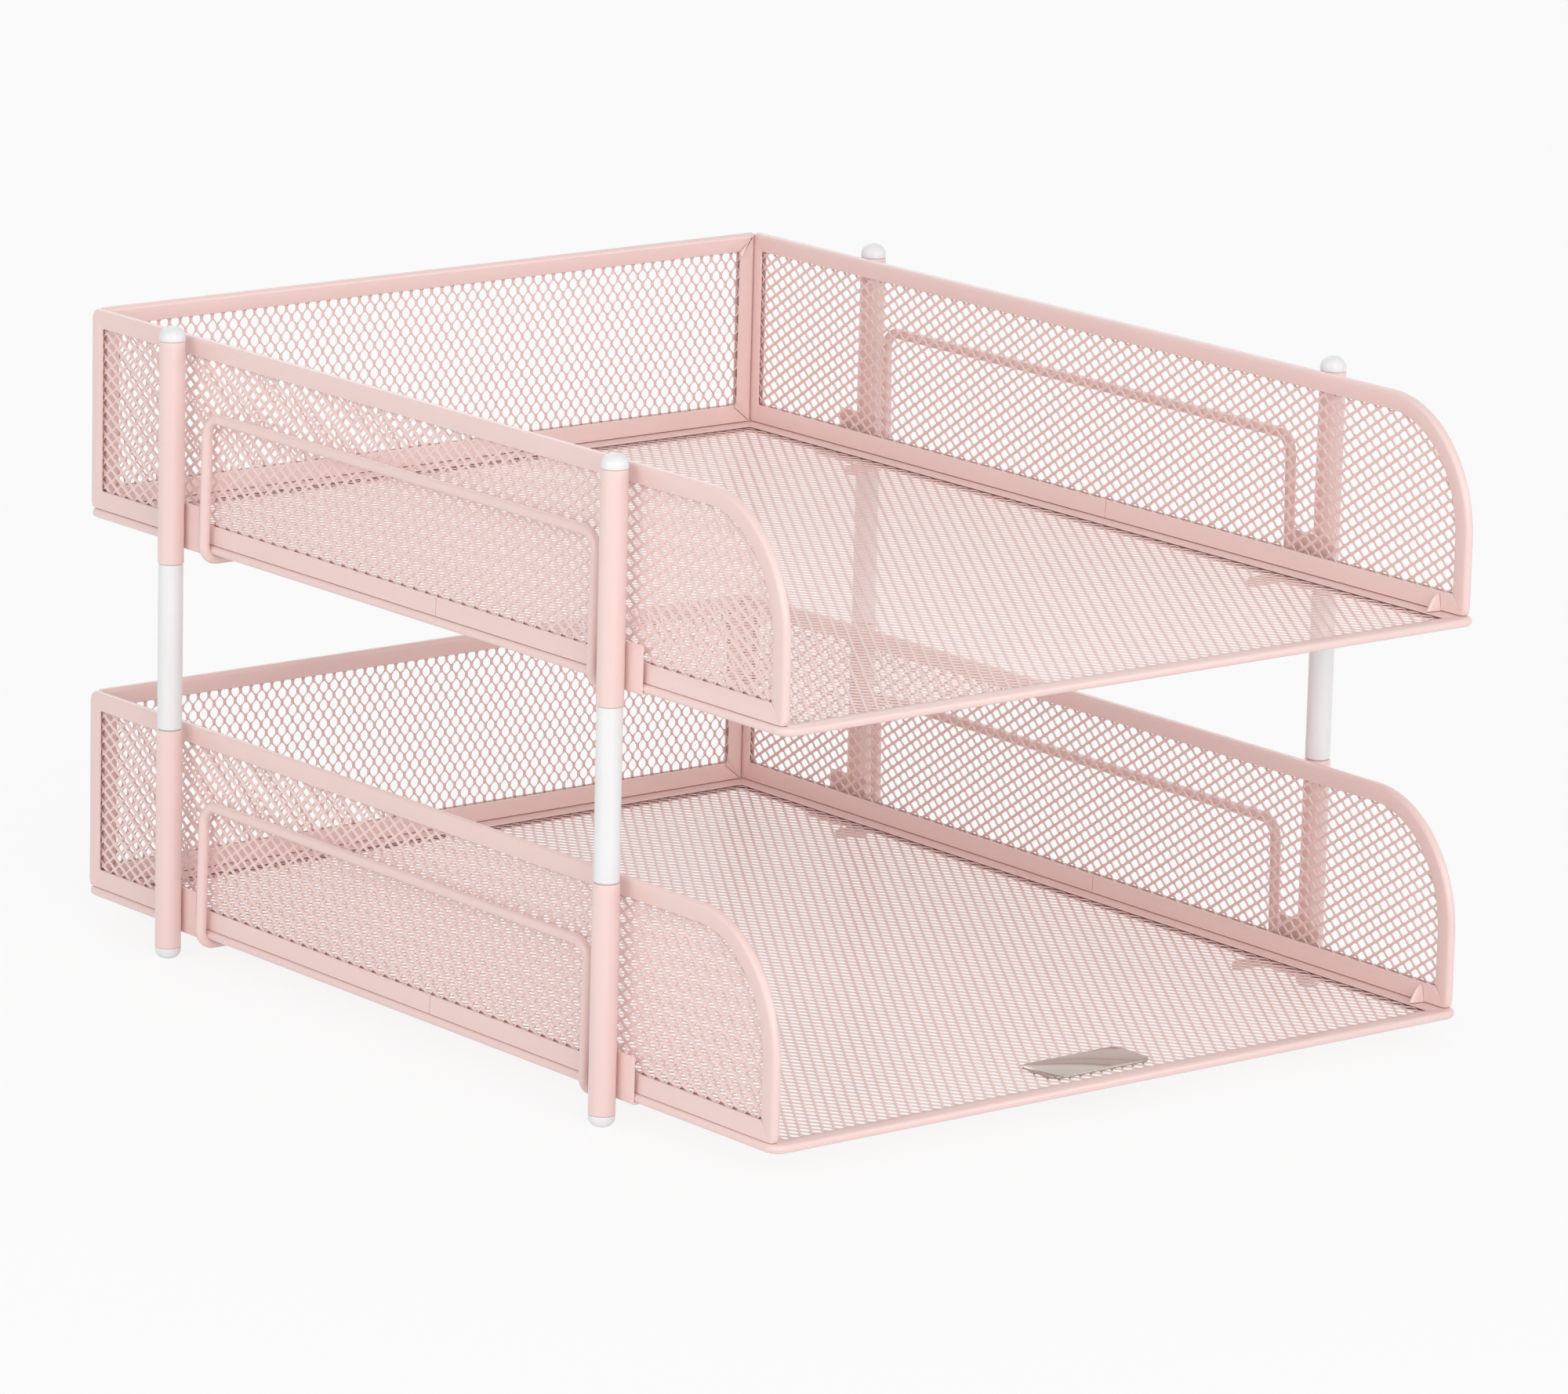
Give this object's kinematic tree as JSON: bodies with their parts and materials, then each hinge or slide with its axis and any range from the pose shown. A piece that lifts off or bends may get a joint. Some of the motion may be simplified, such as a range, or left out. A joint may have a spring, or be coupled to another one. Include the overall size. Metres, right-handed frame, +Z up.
{
  "type": "stackable paper tray",
  "caption": "Stack of wire mesh letter trays with folded sheet rims, tube posts, plug-in connector rods, top caps and feet.",
  "frame": {"origin": "on the standing surface, under the middle of the trays", "axes": "+Z up, +X to the right seen from the open front, +Y from the open front to the back wall"},
  "size_m": [0.2798, 0.346, 0.1965],
  "materials": {
    "powder_coat": "satin pale pink powder coat on steel",
    "white_plastic": "white moulded plastic, softly glossy",
    "plate_metal": "bare plate, smooth satin metal"
  },
  "bodies": {
    "lower_tray": {"lower_floor_rim": "powder_coat", "lower_floor_mesh": "powder_coat", "lower_back_wall_frame": "powder_coat", "lower_back_wall_mesh": "powder_coat", "lower_left_wall_frame": "powder_coat", "lower_left_wall_mesh": "powder_coat", "lower_left_side_wire": "powder_coat", "lower_left_gusset": "powder_coat", "lower_left_front_post": "powder_coat", "lower_left_front_bracket": "powder_coat", "lower_left_rear_post": "powder_coat", "lower_left_rear_bracket": "powder_coat", "lower_right_wall_frame": "powder_coat", "lower_right_wall_mesh": "powder_coat", "lower_right_side_wire": "powder_coat", "lower_right_gusset": "powder_coat", "lower_right_front_post": "powder_coat", "lower_right_front_bracket": "powder_coat", "lower_right_rear_post": "powder_coat", "lower_right_rear_bracket": "powder_coat", "left_front_foot": "white_plastic", "left_rear_foot": "white_plastic", "right_front_foot": "white_plastic", "right_rear_foot": "white_plastic", "floor_plate": "plate_metal"},
    "upper_tray": {"upper_floor_rim": "powder_coat", "upper_floor_mesh": "powder_coat", "upper_back_wall_frame": "powder_coat", "upper_back_wall_mesh": "powder_coat", "upper_left_wall_frame": "powder_coat", "upper_left_wall_mesh": "powder_coat", "upper_left_side_wire": "powder_coat", "upper_left_gusset": "powder_coat", "upper_left_front_post": "powder_coat", "upper_left_front_bracket": "powder_coat", "upper_left_rear_post": "powder_coat", "upper_left_rear_bracket": "powder_coat", "upper_right_wall_frame": "powder_coat", "upper_right_wall_mesh": "powder_coat", "upper_right_side_wire": "powder_coat", "upper_right_gusset": "powder_coat", "upper_right_front_post": "powder_coat", "upper_right_front_bracket": "powder_coat", "upper_right_rear_post": "powder_coat", "upper_right_rear_bracket": "powder_coat"},
    "left_front_rod": {"left_front_connector": "white_plastic"},
    "left_rear_rod": {"left_rear_connector": "white_plastic"},
    "right_front_rod": {"right_front_connector": "white_plastic"},
    "right_rear_rod": {"right_rear_connector": "white_plastic"},
    "left_front_cap": {"left_front_top_cap": "white_plastic"},
    "left_rear_cap": {"left_rear_top_cap": "white_plastic"},
    "right_front_cap": {"right_front_top_cap": "white_plastic"},
    "right_rear_cap": {"right_rear_top_cap": "white_plastic"}
  },
  "joints": [
    {"name": "upper_tray_lift", "type": "slide", "parent": "lower_tray", "child": "upper_tray", "axis": [0, 0, 1], "range_m": [0, 0.04]},
    {"name": "left_front_rod_pull", "type": "slide", "parent": "lower_tray", "child": "left_front_rod", "axis": [0, 0, 1], "range_m": [0, 0.02]},
    {"name": "left_rear_rod_pull", "type": "slide", "parent": "lower_tray", "child": "left_rear_rod", "axis": [0, 0, 1], "range_m": [0, 0.02]},
    {"name": "right_front_rod_pull", "type": "slide", "parent": "lower_tray", "child": "right_front_rod", "axis": [0, 0, 1], "range_m": [0, 0.02]},
    {"name": "right_rear_rod_pull", "type": "slide", "parent": "lower_tray", "child": "right_rear_rod", "axis": [0, 0, 1], "range_m": [0, 0.02]},
    {"name": "left_front_cap_pull", "type": "slide", "parent": "upper_tray", "child": "left_front_cap", "axis": [0, 0, 1], "range_m": [0, 0.02]},
    {"name": "left_rear_cap_pull", "type": "slide", "parent": "upper_tray", "child": "left_rear_cap", "axis": [0, 0, 1], "range_m": [0, 0.02]},
    {"name": "right_front_cap_pull", "type": "slide", "parent": "upper_tray", "child": "right_front_cap", "axis": [0, 0, 1], "range_m": [0, 0.02]},
    {"name": "right_rear_cap_pull", "type": "slide", "parent": "upper_tray", "child": "right_rear_cap", "axis": [0, 0, 1], "range_m": [0, 0.02]}
  ],
  "couplings": [
    {"joint": "left_front_rod_pull", "follows": "upper_tray_lift", "ratio": 0.5},
    {"joint": "left_rear_rod_pull", "follows": "upper_tray_lift", "ratio": 0.5},
    {"joint": "right_front_rod_pull", "follows": "upper_tray_lift", "ratio": 0.5},
    {"joint": "right_rear_rod_pull", "follows": "upper_tray_lift", "ratio": 0.5}
  ]
}
